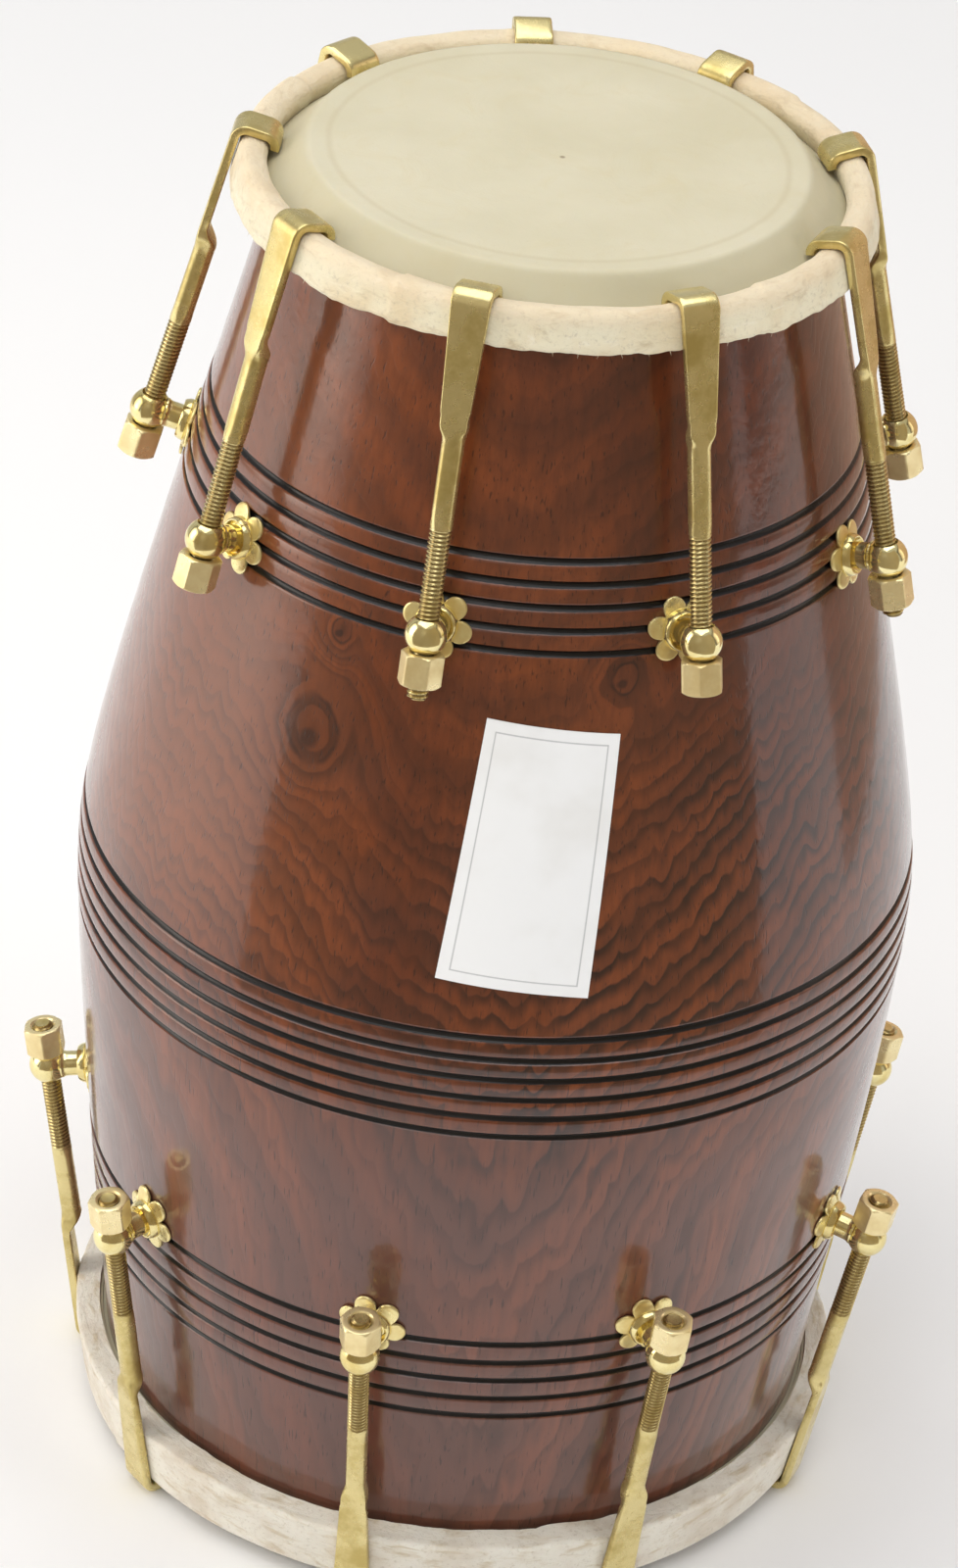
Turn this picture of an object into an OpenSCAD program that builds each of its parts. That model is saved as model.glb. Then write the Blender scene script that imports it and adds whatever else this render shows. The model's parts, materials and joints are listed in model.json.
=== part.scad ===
// Two-headed barrel drum with hook-and-nut tensioned rawhide heads.
// Millimetres, +Z up. The drum stands on its bass head: z = 0 is the bass playing face, and the
// drum's axis is the Z axis. Seen from -Y, the drum shows the side that carries the label.
//
// Every tensioner is drawn in its own frame: the origin is the centre of the eye bolt's ball,
// +X runs out along the eye bolt, and +Z runs along the hook rod towards the head.

/* [Shell] */
// Outside diameter at the belly
belly_d = 251; // [249:0.5:253]
// Height of the belly above the bass playing face
belly_z = 198; // [194:1:202]
// Height from playing face to playing face
drum_h = 431.2; // [430.8:0.1:431.6]
// Taper of the shell above the belly, radius lost per height
treble_taper = 0.24; // [0.238:0.001:0.242]
// Height over which the belly rounds into the upper taper
treble_blend = 28; // [27:0.5:29]
// Taper of the shell below the belly, radius lost per height
bass_taper = 0.115; // [0.113:0.001:0.117]
// Height over which the belly rounds into the lower taper
bass_blend = 45; // [43:1:47]
// Wall thickness, measured level
wall = 13; // [11:0.5:15]

/* [Grooves] */
// Width of each turned groove
groove_w = 2.2; // [1.4:0.1:2.8]
// Depth of each turned groove
groove_d = 1.1; // [0.5:0.1:1.6]
// Number of grooves, lowest height and highest height of the bass group
bass_grooves = [5, 71, 99.9];
// Number of grooves, lowest height and highest height of the belly group
belly_grooves = [6, 180, 213.2];
// Number of grooves, lowest height and highest height of the treble group
treble_grooves = [5, 326.9, 353];

/* [Heads] */
// Thickness of the rawhide skins
skin_t = 0.9; // [0.7:0.05:1]
// Radius of the flat part of the treble playing face
treble_flat_r = 70.6; // [70:0.1:71]
// Radius of the flat part of the bass playing face
bass_flat_r = 97.3; // [96.5:0.1:98]
// Depth of the bearing-edge bevel
bevel_d = 11; // [10.5:0.1:11.5]
// Diameter of the iron bar inside each hoop
core_d = 5.6; // [4:0.2:6]
// Radius of the paste disc inside the bass head
paste_r = 46; // [30:1:70]
// Thickness of the paste disc
paste_t = 2.4; // [1:0.2:5]

/* [Tensioners] */
// Tensioners at each head
count = 9; // [5:1:9]
// Direction of the first treble tensioner, in degrees from +X
treble_first_az = 177.4; // [170:0.1:190]
// Direction of the first bass tensioner, in degrees from +X
bass_first_az = 178.7; // [170:0.1:190]
// Distance of the treble ball centres from the drum's axis
treble_ball_r = 111.8; // [111.6:0.1:112]
// Height of the treble ball centres
treble_ball_z = 335.2; // [335:0.1:335.4]
// Distance of the bass ball centres from the drum's axis
bass_ball_r = 132.3; // [132.1:0.1:132.5]
// Height of the bass ball centres
bass_ball_z = 101.2; // [101:0.1:101.4]
// Lean of the treble rods towards the axis, in degrees
treble_lean = 13.7; // [13.6:0.1:13.8]
// Lean of the bass rods towards the axis, in degrees
bass_lean = 9.6; // [9.5:0.1:9.7]
// Length of rod that shows past each treble nut, in order
treble_tails = [1, 0.6, 4, 0.8, 3.2, 1.2, 2, 0.8, 1.4];
// Length of rod that shows past each bass nut, in order
bass_tails = [0.8, 0.6, 0.9, 0.6, 0.8, 1.2, 0.8, 0.6, 1];

/* [Hardware] */
// Rod diameter, quarter inch
rod_d = 6.35; // [6.3:0.05:6.4]
// Running clearance round the rod, on the radius
rod_clear = 0.05; // [0.02:0.01:0.09]
// Thickness of the flattened strap of a hook
strap_t = 2.7; // [2.6:0.05:2.8]
// Width of the strap where it leaves the shank
strap_neck_w = 7.8; // [7:0.1:8.5]
// Width of the strap at the hoop
strap_wide_w = 11.2; // [10:0.1:12]
// Distance from ball centre to the start of the strap
strap_neck = 58; // [50:1:64]
// Diameter of the eye bolt's ball
ball_d = 12; // [11.6:0.1:12.4]
// Diameter of the eye bolt's arm
arm_d = 7.8; // [7:0.1:8.2]
// Width across the flats of the tuning nuts
nut_flats = 11.1; // [10.5:0.1:12]
// Height of the tuning nuts
nut_h = 9.6; // [8:0.1:11]
// Outside diameter of the flower washers
flower_d = 20.6; // [19:0.1:21]
// Thickness of the flower washers
flower_t = 1.2; // [0.8:0.1:1.5]
// Petals on each flower washer
petals = 6; // [5:1:8]

/* [Label] */
// Width of the paper label
label_w = 41; // [30:1:50]
// Height of the paper label
label_h = 77.4; // [60:0.2:80]
// Height of the label's centre
label_z = 267.4; // [262:0.2:270]
// Direction of the label's centre, in degrees from +X
label_az = -84.5; // [-95:0.5:-75]
// Tilt of the label, in degrees
label_tilt = -5; // [-10:1:10]

/* [Hidden] */
$fn = 48;
eps = 0.05;                 // gap between fixed pieces that touch
hair = 0.02;                // gap under the nuts
steps = 8;                  // straight pieces in each plain stretch of the shell's outline
arc_steps = 4;              // straight pieces in a quarter round
edge_w = 5;                 // width of the flat land inside each bearing edge
hook_gap = 0.1;             // gap between hook and hoop
hook_bend = 4.6;            // outer radius of the hook's two bends
hook_grip = 1.9;            // how far the hook's tip reaches past the hoop's crest
neck_taper = 5;             // length over which the round shank flattens into the strap
strap_proud = 0.2;          // how far the strap's outer face stands proud of the shank
treble_hoop = [83.4, 96.2, 8.9, 1.7];   // near end, crest, thickness, flare at the near end
bass_hoop = [78.2, 99.8, 7.9, 0];       // the same, for the bass hoop
crest_r = 3.6;              // rounding of the hoop's crest
toe_r = 1.2;                // bevel at the hoop's near end
seam_w = 0.6;               // gap between the hide's two edges, under the hoop
collar_h = 3;
collar_r = 6.1;
shank_r = 3.1;
hole_r = 3.3;
petal_r = 2.9;
washer_r = 8;
washer_t = 1.2;
inner_nut_h = 5.2;
tail_in = 2.5;              // thread past the inner nut
nut_chamfer = 1.1;
label_t = 0.3;
pitch_az = 360 / count;
brass = [0.80, 0.67, 0.36];

// One head: direction (1 up, -1 down), playing face, ball radius and height, lean, hoop, azimuth, flat radius
TREBLE = [1, drum_h, treble_ball_r, treble_ball_z, treble_lean, treble_hoop, treble_first_az, treble_flat_r];
BASS = [-1, 0, bass_ball_r, bass_ball_z, bass_lean, bass_hoop, bass_first_az, bass_flat_r];
function up(head) = head[0];
function face_z(head) = head[1];
function ball_r(head) = head[2];
function ball_z(head) = head[3];
function lean(head) = head[4];
function hoop(head) = head[5];
function azimuth(head, i) = head[6] + i * pitch_az;
function flat_r(head) = head[7];

TREBLE_HOOKS = [for (i = [1:count]) str("treble_hook_", i)];
TREBLE_NUTS = [for (i = [1:count]) str("treble_nut_", i)];
BASS_HOOKS = [for (i = [1:count]) str("bass_hook_", i)];
BASS_NUTS = [for (i = [1:count]) str("bass_nut_", i)];

// ---- Outlines ----

function rounded_taper(h, taper, blend) = taper * (sqrt(h * h + blend * blend) - blend);
function shell_r(z) = belly_d / 2 - (z > belly_z
    ? rounded_taper(z - belly_z, treble_taper, treble_blend)
    : rounded_taper(belly_z - z, bass_taper, bass_blend));
function height(head, depth) = face_z(head) - up(head) * depth;

// Evenly spaced heights from a to b
function spread(a, b, n) = [for (i = [0:n]) a + (b - a) * i / n];

// One turned groove with sloping sides, as outline points
function groove(z) = [
    [shell_r(z - groove_w / 2), z - groove_w / 2],
    [shell_r(z) - groove_d, z - groove_w / 5],
    [shell_r(z) - groove_d, z + groove_w / 5],
    [shell_r(z + groove_w / 2), z + groove_w / 2]];
function groove_group(g) =
    [for (z = spread(g[1], g[2], g[0] - 1)) for (p = groove(z)) p];
function plain(a, b) = [for (z = spread(a, b, steps)) [shell_r(z), z]];

// The bearing edge, from the outer wall over the bevel to the inner wall, set out by depth
function bearing_edge(head, lift) = [
    [shell_r(height(head, bevel_d + 1)) + lift, height(head, bevel_d + 1 + lift / 4)],
    [flat_r(head) + 1.2 + lift * 0.7, height(head, 2 * skin_t - lift * 0.8)],
    [flat_r(head), height(head, skin_t + eps - lift)]];

function reversed(list) = [for (i = [len(list) - 1:-1:0]) list[i]];

function shell_outline() =
    let (low = bevel_d + 2, high = drum_h - bevel_d - 2,
         inner = [for (z = spread(high - 3, low + 3, 3 * steps)) [shell_r(z) - wall, z]])
    concat(
        [[flat_r(BASS) - edge_w, skin_t + eps]],
        reversed(bearing_edge(BASS, 0)),
        plain(low, bass_grooves[1] - groove_w),
        groove_group(bass_grooves),
        plain(bass_grooves[2] + groove_w, belly_grooves[1] - groove_w),
        groove_group(belly_grooves),
        plain(belly_grooves[2] + groove_w, treble_grooves[1] - groove_w),
        groove_group(treble_grooves),
        plain(treble_grooves[2] + groove_w, high),
        bearing_edge(TREBLE, 0),
        [[flat_r(TREBLE) - edge_w, drum_h - skin_t - eps]],
        inner);

// A rounded hoop section in the tensioner's frame, leaning with the rod
function quarter(cx, cz, r, from) =
    [for (a = spread(from, from - 90, arc_steps)) [cx + r * cos(a), cz + r * sin(a)]];
function strap_face() = rod_d / 2 + strap_proud;
function hoop_face() = strap_face() - strap_t - hook_gap;
function hoop_section(h) =
    let (x0 = hoop_face(), x1 = x0 - h[2])
    concat(
        quarter(x0 - crest_r, h[1] - crest_r, crest_r, 90),
        [[x0, h[0] + toe_r], [x0 - toe_r, h[0]], [x1 - h[3], h[0]], [x1, h[0] + h[2] / 2]],
        quarter(x1 + crest_r, h[1] - crest_r, crest_r, 180));

// From the tensioner's frame to the drum's radius and height
function to_drum(head, p) = [
    ball_r(head) + p[0] * cos(lean(head)) - p[1] * sin(lean(head)),
    ball_z(head) + up(head) * (p[0] * sin(lean(head)) + p[1] * cos(lean(head)))];

// Distance from ball centre back to a surface that lies `inset` inside the shell, along the eye bolt
function seat(head, inset, n = 6) = n == 0 ? 10
    : let (w = seat(head, inset, n - 1))
      (ball_r(head) - shell_r(ball_z(head) - up(head) * w * sin(lean(head))) + inset) / cos(lean(head));

// Angle between the eye bolt and the square to the shell at its hole
function misfit(head) =
    let (z = ball_z(head) - up(head) * seat(head, 0) * sin(lean(head)))
    lean(head) - abs(atan(shell_r(z + 0.5) - shell_r(z - 0.5)));
function outer_lift(head) = flower_d / 2 * sin(abs(misfit(head))) + eps;
function inner_lift(head) =
    washer_r * sin(abs(misfit(head))) + washer_r * washer_r / (1.9 * (ball_r(head) - 30)) + eps;

// ---- Placing ----

module at_tensioner(head, i) {
    rotate([0, 0, azimuth(head, i)])
        translate([ball_r(head), 0, ball_z(head)])
            mirror([0, 0, up(head) > 0 ? 0 : 1])
                rotate([0, -lean(head), 0]) children();
}

module at_all(head) {
    for (i = [0:count - 1]) at_tensioner(head, i) children();
}

// A cylinder along +X from x = a to x = b
module along_x(a, b, r, r2 = undef) {
    translate([a, 0, 0]) rotate([0, 90, 0])
        cylinder(h = b - a, r1 = r, r2 = is_undef(r2) ? r : r2);
}

// ---- Shell ----

module shell() {
    color([0.36, 0.19, 0.13]) difference() {
        rotate_extrude($fn = 96) polygon(shell_outline());
        at_all(TREBLE) along_x(-50, -4, hole_r);
        at_all(BASS) along_x(-50, -4, hole_r);
    }
}

// ---- Heads ----

module skin(head, skirt) {
    far = height(head, skirt);
    inner = concat([[shell_r(far) + eps, far]], bearing_edge(head, eps));
    outer = concat([[shell_r(far) + eps + skin_t, far]], bearing_edge(head, skin_t + eps));
    color([0.91, 0.88, 0.76]) rotate_extrude($fn = 96)
        polygon(concat(
            [[0, height(head, skin_t)]],
            reversed(inner),
            outer,
            [[0, height(head, 0)]]));
}

module treble_skin() { skin(TREBLE, 16.5); }
module bass_skin() { skin(BASS, 23); }

module hoop_ring(head) {
    rotate_extrude($fn = 96)
        polygon([for (p = hoop_section(hoop(head))) to_drum(head, p)]);
}

function core_centre(h) = [hoop_face() - h[2] / 2, (h[0] + h[1]) / 2];

module core_bar(head, d) {
    rotate_extrude($fn = 96)
        translate(to_drum(head, core_centre(hoop(head)))) circle(d = d, $fn = 32);
}

// The seam where the hide's two edges meet under the hoop
module wrap_seam(head) {
    h = hoop(head);
    c = core_centre(h);
    corners = [
        [c[0] - seam_w / 2, h[0] - 1], [c[0] + seam_w / 2, h[0] - 1],
        [c[0] + seam_w / 2, c[1]], [c[0] - seam_w / 2, c[1]]];
    rotate_extrude($fn = 96) polygon([for (p = corners) to_drum(head, p)]);
}

module hoop_wrap(head) {
    color([0.88, 0.82, 0.72]) difference() {
        hoop_ring(head);
        core_bar(head, core_d + 2 * eps);
        wrap_seam(head);
    }
}

module treble_hoop_wrap() { hoop_wrap(TREBLE); }
module bass_hoop_wrap() { hoop_wrap(BASS); }
module treble_hoop_core() { color([0.35, 0.34, 0.33]) core_bar(TREBLE, core_d); }
module bass_hoop_core() { color([0.35, 0.34, 0.33]) core_bar(BASS, core_d); }

module bass_head_paste() {
    color([0.12, 0.11, 0.10]) translate([0, 0, skin_t + eps])
        cylinder(h = paste_t, r1 = paste_r, r2 = paste_r - paste_t, $fn = 96);
}

// ---- Fixed hardware ----

module hexagon(h, flats) { cylinder(h = h, d = flats / cos(30), $fn = 6); }

module eye_bolt(head) {
    seat_x = -seat(head, 0) + outer_lift(head) + flower_t + eps;
    end_x = -seat(head, wall) - inner_lift(head) - washer_t - inner_nut_h - tail_in;
    difference() {
        union() {
            sphere(d = ball_d);
            along_x(seat_x, -ball_d / 4, arm_d / 2);
            along_x(seat_x, seat_x + collar_h, collar_r, arm_d / 2);
            along_x(end_x, seat_x + eps, shank_r);
        }
        translate([0, 0, -ball_d]) cylinder(h = 2 * ball_d, r = rod_d / 2 + rod_clear);
    }
}

module treble_eye_bolts() { color(brass) at_all(TREBLE) eye_bolt(TREBLE); }
module bass_eye_bolts() { color(brass) at_all(BASS) eye_bolt(BASS); }

module flower_washer(head) {
    x = -seat(head, 0) + outer_lift(head);
    ring = flower_d / 2 - petal_r;
    difference() {
        union() {
            along_x(x, x + flower_t, ring);
            for (a = [0:petals - 1]) rotate([a * 360 / petals + 12, 0, 0])
                translate([0, 0, ring]) along_x(x, x + flower_t, petal_r);
        }
        along_x(x - 1, x + flower_t + 1, hole_r);
    }
}

module treble_flower_washers() { color(brass) at_all(TREBLE) flower_washer(TREBLE); }
module bass_flower_washers() { color(brass) at_all(BASS) flower_washer(BASS); }

module inner_washer(head) {
    x = -seat(head, wall) - inner_lift(head);
    difference() {
        along_x(x - washer_t, x, washer_r);
        along_x(x - washer_t - 1, x + 1, hole_r);
    }
}

module treble_inner_washers() { color([0.62, 0.62, 0.60]) at_all(TREBLE) inner_washer(TREBLE); }
module bass_inner_washers() { color([0.62, 0.62, 0.60]) at_all(BASS) inner_washer(BASS); }

module inner_nut(head) {
    x = -seat(head, wall) - inner_lift(head) - washer_t - eps;
    translate([x, 0, 0]) rotate([0, -90, 0]) difference() {
        hexagon(inner_nut_h, nut_flats);
        translate([0, 0, -1]) cylinder(h = inner_nut_h + 2, r = shank_r + eps);
    }
}

module treble_inner_nuts() { color([0.62, 0.62, 0.60]) at_all(TREBLE) inner_nut(TREBLE); }
module bass_inner_nuts() { color([0.62, 0.62, 0.60]) at_all(BASS) inner_nut(BASS); }

// ---- Moving hardware ----

// Where the rod leaves the ball and the nut begins
function nut_face() = sqrt(pow(ball_d / 2, 2) - pow(rod_d / 2 + rod_clear, 2)) + hair;

// Side view of the strap and hook: out along the strap, over the hoop, down to the tip and back
function hook_outline(h) =
    let (x0 = strap_face(), x1 = hoop_face() - h[2] - hook_gap - strap_t,
         top = h[1] + hook_gap + strap_t, tip = h[1] - hook_grip, r = hook_bend, ri = hook_bend - strap_t)
    concat(
        [[x0, strap_neck]],
        quarter_out(x0 - r, top - r, r),
        quarter_in(x1 + r, top - r, r),
        [[x1, tip], [x1 + strap_t, tip]],
        reversed(quarter_in(x1 + r, top - r, ri)),
        reversed(quarter_out(x0 - r, top - r, ri)),
        [[x0 - strap_t, strap_neck + neck_taper], [2 * strap_proud - rod_d / 2, strap_neck]]);
function quarter_out(cx, cz, r) =
    [for (a = spread(0, 90, arc_steps)) [cx + r * cos(a), cz + r * sin(a)]];
function quarter_in(cx, cz, r) =
    [for (a = spread(90, 180, arc_steps)) [cx + r * cos(a), cz + r * sin(a)]];

module hook(head, tail) {
    h = hoop(head);
    top = h[1] + 6;
    low = -nut_face() - nut_h - tail;
    color(brass) union() {
        translate([0, 0, low]) cylinder(h = strap_neck + 1 - low, d = rod_d);
        intersection() {
            rotate([90, 0, 0])
                linear_extrude(height = 2 * strap_wide_w, center = true)
                    polygon(hook_outline(h));
            rotate([90, 0, 90])
                linear_extrude(height = 60, center = true)
                    polygon([
                        [-strap_neck_w / 2, strap_neck - 1], [strap_neck_w / 2, strap_neck - 1],
                        [strap_wide_w / 2, h[1]], [strap_wide_w / 2, top],
                        [-strap_wide_w / 2, top], [-strap_wide_w / 2, h[1]]]);
        }
    }
}

module treble_hook(i) { at_tensioner(TREBLE, i) hook(TREBLE, treble_tails[i]); }
module bass_hook(i) { at_tensioner(BASS, i) hook(BASS, bass_tails[i]); }

// A tall hexagon nut with both ends turned to a chamfer
module tuning_nut() {
    corner_r = nut_flats / 2 / cos(30);
    color(brass) translate([0, 0, -nut_face() - nut_h]) difference() {
        intersection() {
            hexagon(nut_h, nut_flats);
            rotate_extrude() polygon([
                [0, 0], [corner_r - nut_chamfer, 0], [corner_r, nut_chamfer * 0.6],
                [corner_r, nut_h - nut_chamfer * 0.6], [corner_r - nut_chamfer, nut_h], [0, nut_h]]);
        }
        translate([0, 0, -1]) cylinder(h = nut_h + 2, r = rod_d / 2 + rod_clear);
    }
}

module treble_nut(i) { at_tensioner(TREBLE, i) tuning_nut(); }
module bass_nut(i) { at_tensioner(BASS, i) tuning_nut(); }

// ---- Label ----

// A sheet that follows the shell, cut to the label's rectangle
module label() {
    heights = spread(label_z - label_h / 2 - 8, label_z + label_h / 2 + 8, steps);
    near = [for (z = heights) [shell_r(z) + eps + 0.1, z]];
    far = [for (z = heights) [shell_r(z) + eps + 0.1 + label_t, z]];
    color("white") intersection() {
        rotate_extrude($fn = 96) polygon(concat(near, reversed(far)));
        rotate([0, 0, label_az]) translate([shell_r(label_z), 0, label_z])
            rotate([label_tilt, 0, 0]) cube([60, label_w, label_h], center = true);
    }
}

shell();
treble_skin();
bass_skin();
treble_hoop_core();
bass_hoop_core();
treble_hoop_wrap();
bass_hoop_wrap();
treble_eye_bolts();
bass_eye_bolts();
treble_flower_washers();
bass_flower_washers();
treble_inner_washers();
bass_inner_washers();
treble_inner_nuts();
bass_inner_nuts();
bass_head_paste();
label();
for (i = [0:count - 1]) {
    treble_hook(i);
    treble_nut(i);
    bass_hook(i);
    bass_nut(i);
}
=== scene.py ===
"""Two-headed barrel drum: looks, floor, light and camera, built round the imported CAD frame.

Everything is in metres and in the CAD's own frame. Each tensioner is built in a frame of its own, read
from its joints: the origin is the ball's centre, +X runs out along the eye bolt, +Z runs along the rod
towards the head.
"""
import json
import math

import bmesh
import bpy
from mathutils import Matrix, Vector, noise


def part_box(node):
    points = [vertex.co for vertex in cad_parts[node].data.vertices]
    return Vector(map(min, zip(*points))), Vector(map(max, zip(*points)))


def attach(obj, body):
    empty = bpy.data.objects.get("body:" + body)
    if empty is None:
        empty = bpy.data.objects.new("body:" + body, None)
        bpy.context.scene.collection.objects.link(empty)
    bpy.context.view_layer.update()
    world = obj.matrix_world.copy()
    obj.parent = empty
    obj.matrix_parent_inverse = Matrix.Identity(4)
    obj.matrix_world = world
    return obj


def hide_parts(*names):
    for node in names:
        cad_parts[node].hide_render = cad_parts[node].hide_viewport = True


MM = 0.001
TAU = 2 * math.pi

# Shell
BELLY_R = 125.5 * MM
BELLY_Z = 198 * MM
TREBLE_TAPER, TREBLE_BLEND = 0.24, 28 * MM
BASS_TAPER, BASS_BLEND = 0.115, 45 * MM
WALL = 13 * MM
GROOVE_W = 2.4 * MM
GROOVE_D = 1.1 * MM
RIB_RISE = 0.35 * MM
GROOVE_GROUPS = (
    (5, 71 * MM, 99.9 * MM),
    (6, 180 * MM, 213.2 * MM),
    (5, 326.9 * MM, 353 * MM),
)

# Heads
SKIN_T = 0.9 * MM
LAND_W = 5 * MM
BEVEL_D = 11 * MM
SEAT_GAP = 0.05 * MM
FLAT_R = {"treble": 70.6 * MM, "bass": 97.3 * MM}
SKIRT = {"treble": 16.5 * MM, "bass": 23 * MM}

# Hoops, in the tensioner's frame: near end, crest, thickness, flare at the near end
HOOP = {
    "treble": (83.4 * MM, 96.2 * MM, 8.9 * MM, 1.7 * MM),
    "bass": (78.2 * MM, 99.8 * MM, 7.9 * MM, 0.0),
}
CREST_R = 3.6 * MM

# Hardware
COUNT = 9
ROD_R = 3.175 * MM
PITCH = 1.27 * MM
THREAD_D = 0.42 * MM
THREAD_END = 31.5 * MM
ROWS_A_TURN = 7
STRAP_T = 2.7 * MM
STRAP_PROUD = 0.2 * MM
STRAP_NECK = 58 * MM
STRAP_NECK_W = 7.8 * MM
STRAP_WIDE_W = 11.2 * MM
HOOK_GAP = 0.1 * MM
HOOK_BEND = 4.6 * MM
HOOK_GRIP = 1.9 * MM
BALL_R = 6 * MM
ARM_R = 3.9 * MM
HOLE_R = 3.3 * MM
NUT_FLATS = 11.1 * MM
NUT_H = 9.6 * MM
NUT_FACE = 5.1 * MM
SHANK_R = 3.1 * MM
FLOWER_T = 1.2 * MM
PETALS = 6
PETAL_R = 3.35 * MM
PETAL_RING = 6.95 * MM
HUB_R = 6.4 * MM

# Look of the skin and the wood
PRINT_R = 66.7 * MM
LINE_GAP = 7.5 * MM
BAND_GAP = TAU / 230
# Knots: direction in degrees, height, size
KNOTS = (
    (-120, 292 * MM, 8.4 * MM),
    (-72, 320 * MM, 4 * MM),
    (-118.5, 322 * MM, 3.4 * MM),
)

# What the lights aim at
MIDDLE = (0, 0, 0.2)

# Camera: where it stands, and its pan, pitch and roll
CAMERA_PLACE = (0, -1.54201, 1.18906)
CAMERA_TURN = (-0.00431858, 0.56113097, -0.08942302)
SENSOR_W = 36
LENS = 139.34

# Label
LABEL_W, LABEL_H = 41 * MM, 77.4 * MM
LABEL_Z = 267.4 * MM
LABEL_AZ = math.radians(-84.5)
LABEL_TILT = math.radians(5)

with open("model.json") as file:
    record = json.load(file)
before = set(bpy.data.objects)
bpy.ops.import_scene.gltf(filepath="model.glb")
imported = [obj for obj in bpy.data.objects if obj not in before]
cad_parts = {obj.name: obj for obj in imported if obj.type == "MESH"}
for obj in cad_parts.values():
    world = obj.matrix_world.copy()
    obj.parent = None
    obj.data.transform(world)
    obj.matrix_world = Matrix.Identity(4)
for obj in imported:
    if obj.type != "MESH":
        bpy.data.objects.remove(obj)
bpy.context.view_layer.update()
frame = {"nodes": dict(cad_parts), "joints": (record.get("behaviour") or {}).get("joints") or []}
DRUM_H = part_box("treble_skin")[1][2]
FACE_Z = {"treble": DRUM_H, "bass": 0.0}
HEADS = ("treble", "bass")
UP = {"treble": 1, "bass": -1}
JOINTS = {j["name"]: j for j in frame["joints"]}


# ---- small maths

def lerp(a, b, t):
    return a + (b - a) * t


def smooth(t):
    t = min(max(t, 0.0), 1.0)
    return t * t * (3 - 2 * t)


def spread(a, b, n):
    return [lerp(a, b, i / n) for i in range(n + 1)]


def wobble(x, y, z, scale, seed=0.0):
    """Repeatable noise between about -1 and 1."""
    return noise.noise(Vector((x * scale + seed, y * scale - seed, z * scale + 2 * seed)))


def rounded_taper(h, taper, blend):
    return taper * (math.hypot(h, blend) - blend)


def shell_r(z):
    """Outside radius of the shell, without its grooves."""
    if z > BELLY_Z:
        return BELLY_R - rounded_taper(z - BELLY_Z, TREBLE_TAPER, TREBLE_BLEND)
    return BELLY_R - rounded_taper(BELLY_Z - z, BASS_TAPER, BASS_BLEND)


def groove_at(z):
    """(depth share of a groove at this height, 0 to 1, and the rise of a rib between grooves)."""
    for count, low, high in GROOVE_GROUPS:
        pitch = (high - low) / (count - 1)
        if low - GROOVE_W < z < high + GROOVE_W:
            nearest = low + pitch * min(max(round((z - low) / pitch), 0), count - 1)
            off = abs(z - nearest) / (GROOVE_W / 2)
            cut = math.cos(off * math.pi / 2) if off < 1 else 0.0
            inside = low < z < high
            rib = RIB_RISE * math.sin(math.pi * ((z - low) / pitch % 1.0)) if inside else 0.0
            return cut ** 0.8 if cut > 0 else 0.0, rib
    return 0.0, 0.0


# ---- mesh helpers

def make_object(name, verts, faces, sharp=40):
    mesh = bpy.data.meshes.new(name)
    mesh.from_pydata([tuple(v) for v in verts], [], faces)
    mesh.validate()
    mesh.shade_smooth()
    mesh.set_sharp_from_angle(angle=math.radians(sharp))
    mesh.update()
    obj = bpy.data.objects.new(name, mesh)
    bpy.context.scene.collection.objects.link(obj)
    return obj


def grid_faces(rows, cols, wrap_rows=False, wrap_cols=True):
    faces = []
    for i in range(rows if wrap_rows else rows - 1):
        for j in range(cols if wrap_cols else cols - 1):
            a, b = i * cols + j, i * cols + (j + 1) % cols
            c, d = ((i + 1) % rows) * cols + (j + 1) % cols, ((i + 1) % rows) * cols + j
            faces.append((a, b, c, d))
    return faces


def ring(r, z, segments):
    """Points of one circle round Z."""
    return [(r * math.cos(TAU * k / segments), r * math.sin(TAU * k / segments), z) for k in range(segments)]


def capped(verts, rows, columns, start, end):
    """A tube of rows, closed by a fan round one point at each end."""
    faces = grid_faces(rows, columns)
    first, base = len(verts), (rows - 1) * columns
    for k in range(columns):
        n = (k + 1) % columns
        faces.append((first, n, k))
        faces.append((first + 1, base + k, base + n))
    return verts + [start, end], faces


def lathe(profile, segments, closed=True):
    """Turns (radius, height) points round Z. A closed profile makes a ring; an open one starts and ends on
    the axis, where its rows shrink to one point."""
    turned = profile if closed else profile[1:-1]
    verts = [v for r, z in turned for v in ring(r, z, segments)]
    if closed:
        return verts, grid_faces(len(turned), segments, wrap_rows=True)
    return capped(verts, len(turned), segments, (0, 0, profile[0][1]), (0, 0, profile[-1][1]))


def face_out(obj):
    """Makes every face of a closed mesh look outwards."""
    bm = bmesh.new()
    bm.from_mesh(obj.data)
    bmesh.ops.recalc_face_normals(bm, faces=bm.faces)
    bm.to_mesh(obj.data)
    bm.free()
    return obj


def solid_mesh(name, verts, faces, sharp):
    """A closed mesh that several objects will share."""
    obj = face_out(make_object(name, verts, faces, sharp))
    mesh = obj.data
    bpy.data.objects.remove(obj)
    mesh.set_sharp_from_angle(angle=math.radians(sharp))
    return mesh


def finish_piece(obj, body, material, slot, *nodes):
    obj.data.materials.clear()
    obj.data.materials.append(material)
    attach(obj, body)
    if nodes:
        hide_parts(*nodes)
    return obj


# ---- tensioner frames

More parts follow.
